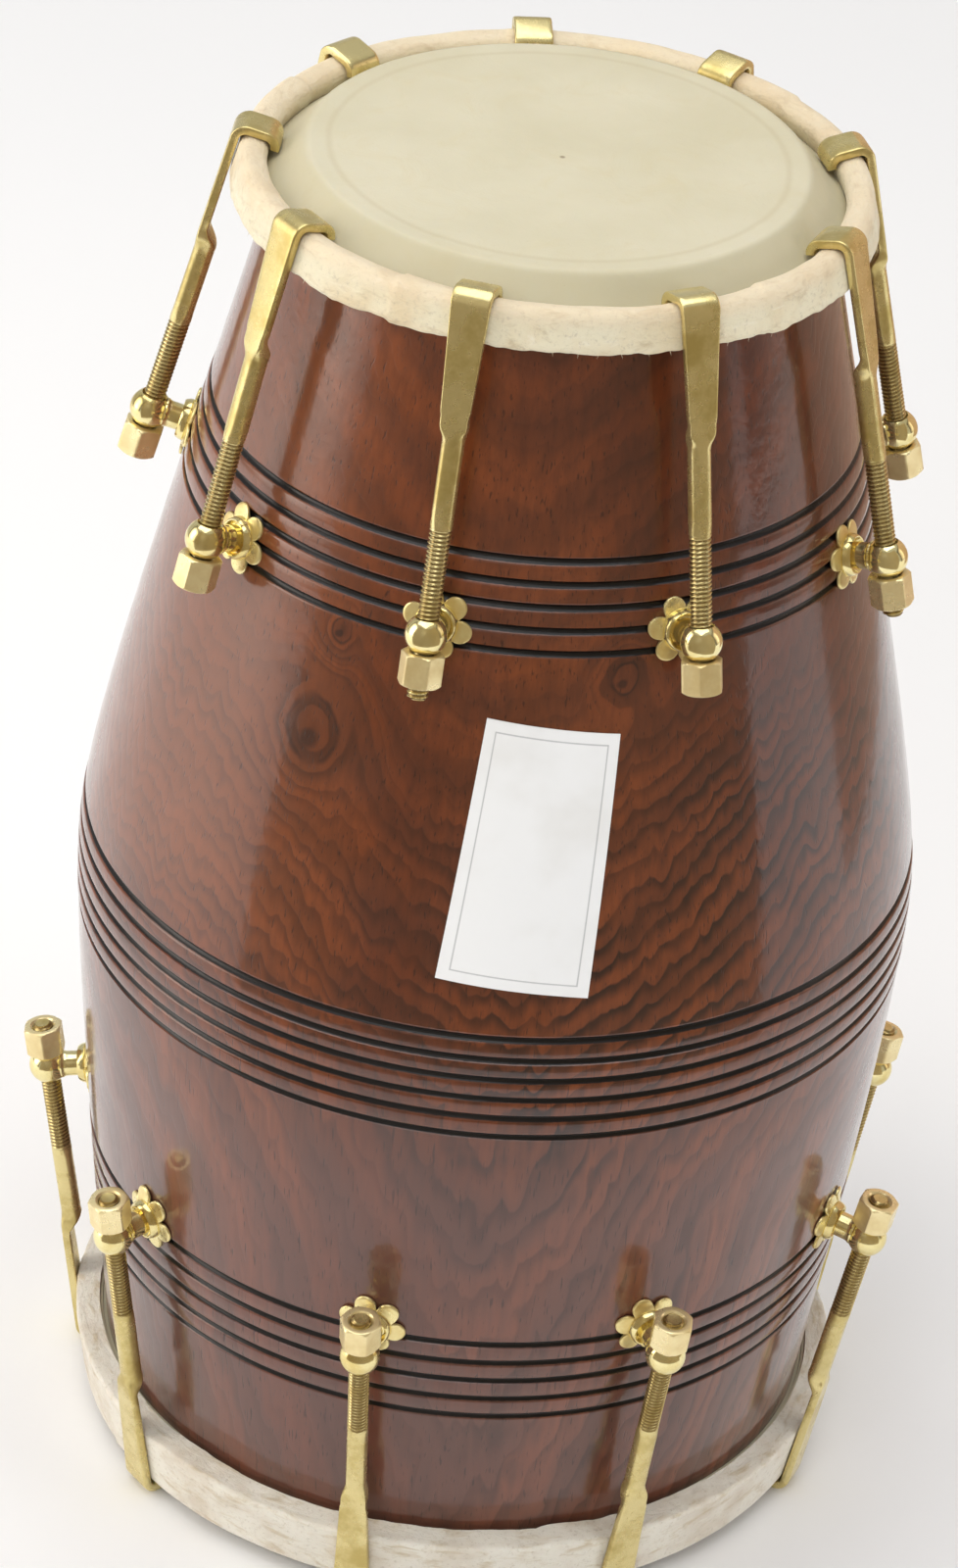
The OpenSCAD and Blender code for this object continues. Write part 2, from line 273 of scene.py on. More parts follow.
def tensioner(head, i):
    """Matrix of one tensioner's own frame, read from its nut's hinge and its hook's slide."""
    hinge = JOINTS[f"{head}_nut_{i}_turn"]
    slide = JOINTS[f"{head}_hook_{i}_slide"]
    origin = Vector(hinge["pos_m"])
    along = Vector(slide["axis"]).normalized()
    radial = Vector((origin.x, origin.y, 0)).normalized()
    out = (radial - along * radial.dot(along)).normalized()
    side = along.cross(out)
    m = Matrix((out, side, along)).transposed().to_4x4()
    m.translation = origin
    return m


FIRST = {head: tensioner(head, 1) for head in HEADS}


def in_tensioner(name, mesh, head, i):
    obj = bpy.data.objects.new(name, mesh)
    bpy.context.scene.collection.objects.link(obj)
    obj.matrix_world = tensioner(head, i)
    return obj


def ball_place(head):
    """(radius of the ball circle, height, lean of the rods) at a head."""
    m = FIRST[head]
    along = m.col[2].to_3d()
    lean = math.asin(math.hypot(along.x, along.y))
    return math.hypot(m.translation.x, m.translation.y), m.translation.z, lean


def to_drum(head, x, z):
    """(radius, height) on the drum of a point in the tensioner's frame."""
    r, h, lean = ball_place(head)
    return (r + x * math.cos(lean) - z * math.sin(lean),
            h + UP[head] * (x * math.sin(lean) + z * math.cos(lean)))


def shell_x(head, y, z):
    """Where the shell's surface lies along the eye bolt, at (y, z) in the tensioner's frame."""
    m = FIRST[head]
    x = -13 * MM
    for _ in range(12):
        p = m @ Vector((x, y, z))
        x -= math.hypot(p.x, p.y) - shell_r(p.z)
    return x


# ---- shell

def bearing_edge(head, lift):
    """(radius, depth from the playing face) down the bearing edge, from the inner land to the wall."""
    flat = FLAT_R[head]
    shoulder = FACE_Z[head] - UP[head] * (BEVEL_D + 1 * MM)
    wall_r = shell_r(shoulder) + lift
    crown = (flat, SKIN_T + SEAT_GAP - lift)
    bend = (flat + 1.2 * MM + lift * 0.7, 2 * SKIN_T - lift * 0.8)
    foot = (wall_r, BEVEL_D + 1 * MM + lift / 4)
    rounded = [(lerp(bend[0], foot[0], t), lerp(bend[1], foot[1], t)) for t in spread(0, 1, 8)]
    return [crown, (lerp(crown[0], bend[0], 0.6), lerp(crown[1], bend[1], 0.35))] + rounded


def shell_heights():
    """Heights of the mesh rows: close together where there are grooves."""
    low, high = BEVEL_D + 2 * MM, DRUM_H - BEVEL_D - 2 * MM
    heights, z = [], low
    while z < high:
        heights.append(z)
        near = any(a - 2 * GROOVE_W < z < b + 2 * GROOVE_W for _, a, b in GROOVE_GROUPS)
        z += 0.32 * MM if near else 2.6 * MM
    return heights + [high]


def shell_profile():
    """Closed outline of the shell as (radius, height, paint share)."""
    profile = []
    for r, depth in bearing_edge("bass", 0):
        profile.append((r, depth, 0.0))
    for z in shell_heights():
        cut, rib = groove_at(z)
        profile.append((shell_r(z) + rib - GROOVE_D * cut, z, cut))
    for r, depth in reversed(bearing_edge("treble", 0)):
        profile.append((r, DRUM_H - depth, 0.0))
    profile.append((FLAT_R["treble"] - LAND_W, DRUM_H - SKIN_T - SEAT_GAP, 0.0))
    for z in spread(DRUM_H - 4 * BEVEL_D / 3, 4 * BEVEL_D / 3, 24):
        profile.append((shell_r(z) - WALL, z, 0.0))
    profile.append((FLAT_R["bass"] - LAND_W, SKIN_T + SEAT_GAP, 0.0))
    return profile


def build_shell(material):
    segments = 256
    profile = shell_profile()
    verts, faces = lathe([(r, z) for r, z, _ in profile], segments)
    obj = face_out(make_object("wooden_shell", verts, faces, 50))
    paint = obj.data.attributes.new("paint", "FLOAT", "POINT")
    paint.data.foreach_set("value", [share for _, _, share in profile for _ in range(segments)])
    return finish_piece(obj, "drum", material, "lacquered_rosewood", "shell")


# ---- heads

def depth_of(head, z):
    return UP[head] * (FACE_Z[head] - z)


def hoop_inside(head, share):
    """(radius, depth) on the inside of the hoop, from its near end (0) to its crest (1)."""
    near, crest, thick, flare = HOOP[head]
    x = hoop_face() - thick + 0.15 * MM - flare * max(0.0, 1 - 2 * share)
    r, z = to_drum(head, x, lerp(near, crest, share))
    return r, depth_of(head, z)


def skin_profile(head):
    """Open outline from the centre of the playing face, over the edge, out to the hoop that the hide laps
    round, back in to the shell, and back underneath."""
    flat, t = FLAT_R[head], SKIN_T
    skirt = SKIRT[head]
    skirt_r = shell_r(FACE_Z[head] - UP[head] * skirt) + SEAT_GAP
    face = [(r, 0.0) for r in spread(0, flat - 0.8 * MM, 30)]
    crown = bearing_edge(head, t + SEAT_GAP)[:3]
    bend, lap = crown[-1], hoop_inside(head, 0.5)
    slope = [(lerp(bend[0], lap[0], n), lerp(bend[1], lap[1], n) + 0.7 * MM * math.sin(math.pi * n))
             for n in spread(0, 1, 10)][1:]
    tuck = [hoop_inside(head, 0.3), hoop_inside(head, 0.08)]
    tuck.append((skirt_r + t + 0.3 * MM, tuck[-1][1] + 0.2 * MM))
    under = list(reversed(bearing_edge(head, SEAT_GAP)))
    back = [(r, t) for r in spread(flat - 1.2 * MM, 0, 12)]
    return face + crown + slope + tuck + [(skirt_r + t, skirt), (skirt_r, skirt)] + under + back


def skin_relief(head, r, a, depth):
    """How far a point of the skin sinks: slack, the print of the bearing edge, and puckers on the bevel."""
    x, y = r * math.cos(a), r * math.sin(a)
    flat = FLAT_R[head]
    slack = 0.10 * MM * wobble(x, y, 0, 18, 3.0) + 0.03 * MM * wobble(x, y, 0, 120, 8.0)
    land = flat - LAND_W
    print_line = 0.16 * MM * math.exp(-((r - land) / (1.6 * MM)) ** 2)
    print_line += 0.10 * MM * smooth((land - r) / (6 * MM))
    bevel = smooth((depth - SKIN_T) / (4 * MM))
    pucker = 0.16 * MM * bevel * wobble(math.cos(a), math.sin(a), r * 10, 11, 5.0)
    return abs(slack) + print_line * (1 - bevel) + abs(pucker)


def build_skin(head, material):
    segments = 240
    profile = skin_profile(head)
    verts, faces = lathe([(r, FACE_Z[head] - UP[head] * d) for r, d in profile], segments, closed=False)
    moved = []
    top_rows = 30 + 3 + 9
    for n, (x, y, z) in enumerate(verts):
        depth = abs(z - FACE_Z[head])
        outside = n // segments < top_rows or n == len(verts) - 2
        sink = skin_relief(head, math.hypot(x, y), math.atan2(y, x), depth) if outside else 0.0
        moved.append((x, y, z - UP[head] * min(sink, 0.4 * MM)))
    obj = face_out(make_object(f"{head}_rawhide_head", moved, faces, 30))
    return finish_piece(obj, "drum", material, "rawhide_skin", f"{head}_skin")


def strap_face():
    return ROD_R + STRAP_PROUD


def hoop_face():
    return strap_face() - STRAP_T - HOOK_GAP


def arc(cx, cz, r, start, end, steps):
    return [(cx + r * math.cos(a), cz + r * math.sin(a)) for a in spread(start, end, steps)]


def hoop_outline(head):
    """Closed section of a wrapped hoop in the tensioner's frame, starting at the near end's outer corner."""
    near, crest, depth, flare = HOOP[head]
    x0, x1, r = hoop_face(), hoop_face() - depth, CREST_R
    foot_r = 1.3 * MM
    outer = [(x0, z) for z in spread(near + foot_r, crest - r, 9)][:-1]
    over = arc(x0 - r, crest - r, r, 0, math.pi / 2, 7)
    inner = arc(x1 + r, crest - r, r, math.pi / 2, math.pi, 7)
    down = [(x1, z) for z in spread(crest - r, near + depth / 2, 3)][1:]
    foot = [(lerp(x1, x1 - flare, t), lerp(near + depth / 2, near, t)) for t in spread(0, 1, 3)][1:]
    sole = [(x, near) for x in spread(x1 - flare, x0 - foot_r, 5)][1:]
    toe = arc(x0 - foot_r, near + foot_r, foot_r, -math.pi / 2, 0, 3)[1:-1]
    return outer + over + inner[1:] + down + foot + sole + toe


def hook_angles(head):
    balls = [tensioner(head, i).translation for i in range(1, COUNT + 1)]
    return [math.atan2(ball.y, ball.x) for ball in balls]


def angle_gap(a, b):
    return abs((a - b + math.pi) % TAU - math.pi)


def flap_step(a, flaps):
    """Rise where one end of the hide laps over the next: a sharp step, then a slow return."""
    rise = 0.0
    for start, length in flaps:
        t = ((a - math.radians(start)) % TAU) / length
        if t < 1:
            rise = max(rise, smooth(t / 0.035) * (1 - t) ** 1.5)
    return rise


# Where the hide's ends lap: direction in degrees, and how far round the step takes to die away
FLAPS = {
    "treble": ((152, 0.5), (-118, 0.45), (-48, 0.4), (40, 0.5)),
    "bass": ((-150, 0.4), (-74, 0.5), (15, 0.45), (110, 0.5)),
}


def build_wrap(head, material):
    columns = 560
    outline = hoop_outline(head)
    near, crest = HOOP[head][:2]
    hooks = hook_angles(head)
    press_w = STRAP_WIDE_W / 2 / to_drum(head, 0, crest)[0]
    cx, cz = hoop_face() - HOOP[head][2] / 2, (near + crest) / 2
    verts = []
    for x, z in outline:
        out = Vector((x - cx, 0, z - cz)).normalized()
        at_near = smooth((near + 3.5 * MM - z) / (3.5 * MM))
        for k in range(columns):
            a = TAU * k / columns
            c, s = math.cos(a), math.sin(a)
            px, py = c * 0.1, s * 0.1
            lump = 0.32 * MM * wobble(px, py, z, 34, 2.0) + 0.16 * MM * wobble(px, py, z, 130, 6.0)
            crease = -0.28 * MM * max(0.0, wobble(px * 0.5, py * 0.5, z * 3.5, 120, 9.0) - 0.12)
            flap = 0.75 * MM * flap_step(a, FLAPS[head])
            pressed = max(1 - smooth((angle_gap(a, h) / press_w - 1.0) / 0.5) for h in hooks)
            off = lerp(lump + crease + flap - 0.25 * MM, -0.12 * MM, pressed)
            edge = 0.9 * MM * wobble(px, py, 0.2, 75, 4.0) + 0.5 * MM * wobble(px, py, 0.7, 260, 1.0)
            r, h = to_drum(head, x + out.x * off, z + out.z * off + edge * at_near)
            verts.append((r * c, r * s, h))
    obj = make_object(f"{head}_hide_wrap", verts, grid_faces(len(outline), columns, wrap_rows=True), 55)
    return finish_piece(face_out(obj), "drum", material, "hide_wrap", f"{head}_hoop_wrap")


def hair(root, tip, bend, radius):
    """One tapered hair as (verts, faces): four rings of three points and a point at the end."""
    verts, faces = [], []
    along = (tip - root).normalized()
    side = along.orthogonal().normalized()
    other = along.cross(side)
    for n, t in enumerate(spread(0, 0.8, 3)):
        centre = root.lerp(tip, t) + bend * t * t
        for k in range(3):
            a = TAU * k / 3
            verts.append(centre + (side * math.cos(a) + other * math.sin(a)) * radius * (1 - t))
    verts.append(tip + bend)
    for n in range(3):
        for k in range(3):
            a, b = 3 * n + k, 3 * n + (k + 1) % 3
            faces.append((a, b, b + 3, a + 3))
    faces += [(9 + k, 9 + (k + 1) % 3, 12) for k in range(3)] + [(2, 1, 0)]
    return verts, faces


def build_fibres(head, material):
    """Loose hairs that stick out of the hide's rough edge."""
    verts, faces = [], []
    near = HOOP[head][0]
    for n in range(90):
        a = TAU * (n + 0.5 * wobble(n * 0.37, 1.7, 0.3, 1.0)) / 90
        if wobble(math.cos(a), math.sin(a), 0.4, 2.6, 7.0) < 0.02:
            continue
        r, h = to_drum(head, hoop_face() - 0.9 * MM, near + 0.7 * MM)
        c, s = math.cos(a), math.sin(a)
        root = Vector((r * c, r * s, h))
        reach = (1.3 + 1.5 * abs(wobble(n, 2.0, 5.0, 0.73))) * MM
        lean = wobble(n, 4.0, 1.0, 0.61)
        tip = root + Vector((c * 0.5 - s * lean, s * 0.5 + c * lean, -UP[head])).normalized() * reach
        bend = Vector((-s, c, 0.2)) * 0.5 * MM * wobble(n, 9.0, 2.0, 0.57)
        v, f = hair(root, tip, bend, 0.11 * MM)
        faces += [tuple(i + len(verts) for i in face) for face in f]
        verts += v
    obj = face_out(make_object(f"{head}_hide_fibres", verts, faces, 80))
    return finish_piece(obj, "drum", material, "hide_wrap")


# ---- hooks

def squared(value, power):
    return math.copysign(abs(value) ** (2 / power), value)


def hook_stations(head):
    """Stations along a hook from the end of its thread to its tip.

    Each is (centre x, centre z, normal x, normal z, half thickness, half width, squareness)."""
    crest, depth = HOOP[head][1], HOOP[head][2]
    x0, half = strap_face(), STRAP_T / 2
    top = crest + HOOK_GAP + STRAP_T
    stations = []
    for z in spread(THREAD_END + 0.6 * MM, STRAP_NECK - 2.2 * MM, 12):
        t = smooth((z - THREAD_END) / (3 * MM))
        stations.append((0, z, 1, 0, ROD_R * (1 - 0.04 * t), ROD_R * (1 - 0.04 * t), lerp(2, 2.7, t)))
    for t in spread(0, 1, 8):
        z = lerp(STRAP_NECK - 1.6 * MM, STRAP_NECK + 5 * MM, t)
        inner = lerp(-ROD_R, x0 - STRAP_T, smooth(t))
        outer = lerp(ROD_R, x0, smooth(t * 2))
        width = lerp(ROD_R, STRAP_NECK_W / 2, smooth(t * 1.6))
        stations.append(((inner + outer) / 2, z, 1, 0, (outer - inner) / 2, width, lerp(2.7, 9, smooth(t * 1.5))))
    for z in spread(STRAP_NECK + 6.5 * MM, top - HOOK_BEND, 12):
        width = lerp(STRAP_NECK_W, STRAP_WIDE_W, (z - STRAP_NECK) / (crest - STRAP_NECK)) / 2
        stations.append((x0 - half, z, 1, 0, half, width, 10))
    mid, wide = HOOK_BEND - half, STRAP_WIDE_W / 2
    x1 = hoop_face() - depth - HOOK_GAP - STRAP_T
    for a in spread(0, math.pi / 2, 8)[1:]:
        stations.append((x0 - HOOK_BEND + mid * math.cos(a), top - HOOK_BEND + mid * math.sin(a),
                         math.cos(a), math.sin(a), half, wide, 10))
    for a in spread(math.pi / 2, math.pi, 8):
        stations.append((x1 + HOOK_BEND + mid * math.cos(a), top - HOOK_BEND + mid * math.sin(a),
                         math.cos(a), math.sin(a), half, wide, 10))
    tip = crest - HOOK_GRIP
    for t in (0.5, 0.85, 1.0):
        thin = 1 - 0.35 * max(0.0, t - 0.8) / 0.2
        stations.append((x1 + half, lerp(top - HOOK_BEND, tip, t), -1, 0, half * thin, wide * (1 - 0.06 * t), 9))
    return stations


def thread_radius(angle, z, low):
    """Radius of a right-hand thread with a chamfered start and a faded run-out."""
    phase = (z / PITCH - angle / TAU) % 1.0
    tooth = min(1.0, 1.25 * (1 - abs(2 * phase - 1)))
    fade = smooth((THREAD_END - z) / (1.6 * PITCH))
    lead_in = max(0.0, 0.9 * MM - (z - low)) * 0.8
    return ROD_R - THREAD_D * tooth * fade - lead_in


def hook_mesh(head, low):
    columns = 28
    angles = [TAU * k / columns for k in range(columns)]
    verts = []
    for z in spread(low, THREAD_END, int((THREAD_END - low) / (PITCH / ROWS_A_TURN))):
        for a in angles:
            r = thread_radius(a, z, low)
            verts.append((r * math.cos(a), r * math.sin(a), z))
    for cx, cz, nx, nz, thick, width, power in hook_stations(head):
        for a in angles:
            off = thick * squared(math.cos(a), power)
            verts.append((cx + nx * off, width * squared(math.sin(a), power), cz + nz * off))
    tip = tuple(sum(v[n] for v in verts[-columns:]) / columns for n in range(3))
    return capped(verts, len(verts) // columns, columns, (0, 0, low + 0.25 * MM), tip)


def thread_low(head, i):
    """Where the CAD rod ends, in its tensioner's frame."""
    inverse = tensioner(head, i).inverted()
    return min((inverse @ v.co).z for v in frame["nodes"][f"{head}_hook_{i}"].data.vertices)


def build_hooks(head, material):
    for i in range(1, COUNT + 1):
        verts, faces = hook_mesh(head, thread_low(head, i))
        obj = face_out(make_object(f"{head}_hook_rod_{i}", verts, faces, 38))
        obj.matrix_world = tensioner(head, i)
        finish_piece(obj, f"{head}_hook_{i}", material, "satin_brass", f"{head}_hook_{i}")


# ---- nuts

def nut_mesh():
    """A tall hexagon nut with chamfered ends and a countersunk bore, closed all round."""
    columns = 96
    apothem, corner = NUT_FLATS / 2, NUT_FLATS / 2 / math.cos(math.pi / 6)
    base = -NUT_FACE - NUT_H
    ends = ((0.0, 1.15), (0.12, 0.85), (0.35, 0.5), (0.62, 0.2), (0.85, 0.05))
    limits = [(d * MM, corner - cut * MM) for d, cut in ends]
    outer = limits + [(z, corner - 0.12 * MM) for z in spread(1.1 * MM, NUT_H - 1.1 * MM, 6)]
    outer += [(NUT_H - d, limit) for d, limit in reversed(limits)]
    bore = ROD_R + 0.05 * MM
    rows = []
    for z, limit in outer:
        rows.append([(min(apothem / math.cos((a + math.pi / 6) % (math.pi / 3) - math.pi / 6), limit), z)
                     for a in (TAU * k / columns for k in range(columns))])
    inside = [(bore + 1.2 * MM, NUT_H), (bore + 0.7 * MM, NUT_H), (bore, NUT_H - 0.6 * MM)]
    inside += [(bore, 0.6 * MM), (bore + 0.7 * MM, 0), (bore + 1.2 * MM, 0)]
    rows += [[(r, z)] * columns for r, z in inside]
    verts = []
    for row in rows:
        for k, (r, z) in enumerate(row):
            a = TAU * k / columns
            verts.append((r * math.cos(a), r * math.sin(a), z + base))
    return verts, grid_faces(len(rows), columns, wrap_rows=True)


def build_nuts(material):
    shared = solid_mesh("tuning_nut", *nut_mesh(), 30)
    for head in HEADS:
        for i in range(1, COUNT + 1):
            nut = in_tensioner(f"{head}_tuning_nut_{i}", shared, head, i)
            finish_piece(nut, f"{head}_nut_{i}", material, "nut_brass", f"{head}_nut_{i}")


# ---- eye bolts and washers

def lift(head):
    """How far the flat middle of a washer stands off the curved shell."""
    return {"treble": 0.12 * MM, "bass": 0.42 * MM}[head]


def ball_mesh():
    """A ball with a countersunk hole for the rod, as a closed ring round Z."""
    rim = math.acos(3.75 * MM / BALL_R)
    bore = ROD_R + 0.05 * MM
    outside = [(BALL_R * math.cos(a), BALL_R * math.sin(a)) for a in spread(rim, -rim, 30)]
    inside = [(3.35 * MM, -4.35 * MM), (bore, -3.9 * MM), (bore, 3.9 * MM), (3.35 * MM, 4.35 * MM)]
    return lathe(outside + inside, 64)


def arm_mesh(head):
    """Arm, cupped collar and tail of an eye bolt, turned round X."""
    seat = shell_x(head, 0, 0) + lift(head) + FLOWER_T
    tail = tail_x(head)
    cup = ((6.15, 0), (6.3, 0.3), (6.15, 1.1), (5.75, 2.1), (5.45, 2.45), (5.1, 2.3), (4.7, 1.5), (4.3, 1.1))
    root = ((0, -6.2), (0.08, -5.5), (0.25, -5.0), (0.5, -4.6), (0.45, -3.9))
    along = [(0, tail), (SHANK_R - 0.6 * MM, tail), (SHANK_R, tail + 0.6 * MM), (SHANK_R, seat)]
    along += [(r * MM, seat + x * MM) for r, x in cup] + [(ARM_R, seat + 1.2 * MM)]
    along += [(ARM_R + r * MM, x * MM) for r, x in root] + [(0, -3.7 * MM)]
    verts, faces = lathe(along, 56, closed=False)
    return [(z, y, -x) for x, y, z in verts], faces


def tail_x(head):
    """Inner end of the CAD eye bolts, in the tensioner's frame."""
    inverse = FIRST[head].inverted()
    points = [inverse @ v.co for v in frame["nodes"][f"{head}_eye_bolts"].data.vertices]
    return min(p.x for p in points if math.hypot(p.y, p.z) < 2 * SHANK_R and p.x > -60 * MM)


def united(a, b):
    """The mesh of the union of two closed objects, which are used up."""
    cut = a.modifiers.new("union", "BOOLEAN")
    cut.operation = "UNION"
    cut.solver = "EXACT"
    cut.object = b
    bpy.context.view_layer.update()
    mesh = bpy.data.meshes.new_from_object(a.evaluated_get(bpy.context.evaluated_depsgraph_get()))
    bpy.data.objects.remove(a)
    bpy.data.objects.remove(b)
    return mesh


def build_eye_bolts(head, material):
    ball = face_out(make_object(f"{head}_ball", *ball_mesh(), 35))
    arm = face_out(make_object(f"{head}_arm", *arm_mesh(head), 35))
    shared = united(ball, arm)
    shared.shade_smooth()
    shared.set_sharp_from_angle(angle=math.radians(35))
    for i in range(1, COUNT + 1):
        bolt = in_tensioner(f"{head}_eye_bolt_{i}", shared, head, i)
        finish_piece(bolt, "drum", material, "polished_brass", f"{head}_eye_bolts")


def petal_edge(a):
    """Radius of the flower washer's outline in direction a."""
    step = TAU / PETALS
    off = (a + step / 2) % step - step / 2
    under = PETAL_R ** 2 - (PETAL_RING * math.sin(off)) ** 2
    reach = PETAL_RING * math.cos(off) + math.sqrt(under) if under > 0 else 0.0
    return max(HUB_R, reach)


def flower_mesh(head):
    """A thin washer with round petals that bend to follow the shell."""
    columns = 192
    middle = shell_x(head, 0, 0) + lift(head)
    top = [(f, FLOWER_T) for f in spread(0, 0.9, 9)] + [(0.965, FLOWER_T * 0.93), (0.993, FLOWER_T * 0.7)]
    rows = top + [(1.0, FLOWER_T * 0.45), (0.99, FLOWER_T * 0.12), (0.94, 0.0), (0.6, 0.0), (0.0, 0.0)]
    verts = []
    for share, rise in rows:
        for k in range(columns):
            a = TAU * k / columns
            r = lerp(HOLE_R, petal_edge(a + 0.2), share)
            y, z = r * math.cos(a), r * math.sin(a)
            bent = smooth((r - 6.2 * MM) / (2.2 * MM))
            base = lerp(middle, shell_x(head, y, z) + 0.06 * MM, bent)
            spoon = 0.28 * MM * bent * math.sin(math.pi * min(1.0, (r - 6 * MM) / (4.4 * MM)))
            verts.append((base + rise * (1 - 0.25 * bent) + spoon, y, z))
    return verts, grid_faces(len(rows), columns, wrap_rows=True)


def build_flowers(head, material):
    shared = solid_mesh(f"{head}_flower_washer", *flower_mesh(head), 40)
    for i in range(1, COUNT + 1):
        flower = in_tensioner(f"{head}_flower_washer_{i}", shared, head, i)
        finish_piece(flower, "drum", material, "polished_brass", f"{head}_flower_washers")


# ---- label

def build_label(material):
    """A paper label laid on the shell, with a little lift at one corner."""
    across, up = 24, 44
    turn = Matrix.Rotation(LABEL_TILT, 2)
    verts = []
    for side in (0.42 * MM, 0.16 * MM):
        for j in range(up + 1):
            for i in range(across + 1):
                flat = turn @ Vector(((0.5 - i / across) * LABEL_W, (j / up - 0.5) * LABEL_H))
                z = LABEL_Z + flat.y
                corner = max(0.0, i / across - 0.8) * max(0.0, 0.16 - j / up)
                r = shell_r(z) + side + 9 * MM * corner
                a = LABEL_AZ - flat.x / shell_r(LABEL_Z)
                verts.append((r * math.cos(a), r * math.sin(a), z))
    count = (across + 1) * (up + 1)
    faces = []
    for j in range(up):
        for i in range(across):
            a = j * (across + 1) + i
            quad = (a, a + 1, a + across + 2, a + across + 1)
            faces.append(quad)
            faces.append(tuple(count + n for n in reversed(quad)))
    border = list(range(across + 1))
    border += [j * (across + 1) + across for j in range(1, up + 1)]
    border += [up * (across + 1) + i for i in range(across - 1, -1, -1)]
    border += [j * (across + 1) for j in range(up - 1, 0, -1)]
    for n, a in enumerate(border):
        b = border[(n + 1) % len(border)]
        faces.append((a, a + count, b + count, b))
    obj = face_out(make_object("paper_label", verts, faces, 60))
    place = obj.data.attributes.new("sheet", "FLOAT_VECTOR", "POINT")
    spots = [v for _ in range(2) for j in range(up + 1) for i in range(across + 1)
             for v in (i / across, j / up, 0.0)]
    place.data.foreach_set("vector", spots)
    return finish_piece(obj, "drum", material, "label_paper", "label")


# ---- materials

class Shader:
    """Short names for building one node material."""

    def __init__(self, name):
        self.material = bpy.data.materials.new(name)
        self.material.use_nodes = True
        self.tree = self.material.node_tree
        self.tree.nodes.clear()
        self.bsdf = self.node("ShaderNodeBsdfPrincipled")
        out = self.node("ShaderNodeOutputMaterial")
        self.tree.links.new(self.bsdf.outputs["BSDF"], out.inputs["Surface"])
        self.place = self.node("ShaderNodeTexCoord").outputs["Object"]

    def node(self, kind, **settings):
        made = self.tree.nodes.new(kind)
        for key, value in settings.items():
            setattr(made, key, value)
        return made

    def feed(self, socket, value):
        if isinstance(value, bpy.types.NodeSocket):
            self.tree.links.new(value, socket)
        elif value is not None:
            socket.default_value = value

    def set(self, **values):
        """Sets inputs of the surface shader: base_color=..., coat_weight=..."""
        names = {n.name.lower().replace(" ", "_"): n for n in self.bsdf.inputs}
        for key, value in values.items():
            self.feed(names[key], value)

    def math(self, op, a, b=None):
        made = self.node("ShaderNodeMath", operation=op)
        self.feed(made.inputs[0], a)
        self.feed(made.inputs[1], b)
        return made.outputs[0]

    def add(self, a, b):
        return self.math("ADD", a, b)

    def times(self, a, b):
        return self.math("MULTIPLY", a, b)

    def vector(self, op, a, b=None):
        made = self.node("ShaderNodeVectorMath", operation=op)
        self.feed(made.inputs[0], a)
        self.feed(made.inputs[1], b)
        return made.outputs["Value"] if op in ("LENGTH", "DISTANCE") else made.outputs["Vector"]

    def stretched(self, x, y, z):
        return self.vector("MULTIPLY", self.place, (x, y, z))

    def off_axis(self):
        """Distance from the Z axis."""
        return self.vector("LENGTH", self.stretched(1, 1, 0))

    def height(self):
        return self.parts()[2]

    def joined(self, x, y=None, z=None):
        made = self.node("ShaderNodeCombineXYZ")
        for socket, value in zip(made.inputs, (x, y, z)):
            self.feed(socket, value)
        return made.outputs[0]

    def parts(self, at=None):
        made = self.node("ShaderNodeSeparateXYZ")
        self.feed(made.inputs[0], at or self.place)
        return made.outputs

    def noise(self, scale, detail=2.0, rough=0.5, at=None, twist=0.0):
        made = self.node("ShaderNodeTexNoise")
        self.feed(made.inputs["Vector"], at or self.place)
        self.feed(made.inputs["Scale"], scale)
        self.feed(made.inputs["Detail"], detail)
        self.feed(made.inputs["Roughness"], rough)
        self.feed(made.inputs["Distortion"], twist)
        return made.outputs["Fac"]

    def cells(self, scale, feature="F1"):
        made = self.node("ShaderNodeTexVoronoi", feature=feature)
        self.feed(made.inputs["Vector"], self.place)
        self.feed(made.inputs["Scale"], scale)
        return made.outputs["Distance"]

    def remap(self, value, low, high, to_low=0.0, to_high=1.0):
        made = self.node("ShaderNodeMapRange", interpolation_type="SMOOTHSTEP")
        for socket, v in zip(made.inputs, (value, low, high, to_low, to_high)):
            self.feed(socket, v)
        return made.outputs[0]

    def mix(self, share, a, b):
        made = self.node("ShaderNodeMix", data_type="RGBA")
        self.feed(made.inputs["Factor"], share)
        self.feed(made.inputs[6], a)
        self.feed(made.inputs[7], b)
        return made.outputs[2]

    def bump(self, height, depth, under=None):
        """depth is how many metres a height of 1 stands for."""
        made = self.node("ShaderNodeBump")
        self.feed(made.inputs["Height"], height)
        self.feed(made.inputs["Distance"], depth)
        self.feed(made.inputs["Strength"], 1.0)
        self.feed(made.inputs["Normal"], under)
        return made.outputs["Normal"]


def rgb(r, g, b):
    """Linear colour of an sRGB one given in 0 to 255."""
    return tuple(((c / 255 + 0.055) / 1.055) ** 2.4 if c > 10 else c / 255 / 12.92 for c in (r, g, b)) + (1.0,)


def knot_place(azimuth, z):
    a = math.radians(azimuth)
    r = shell_r(z)
    return (r * math.cos(a), r * math.sin(a), z)


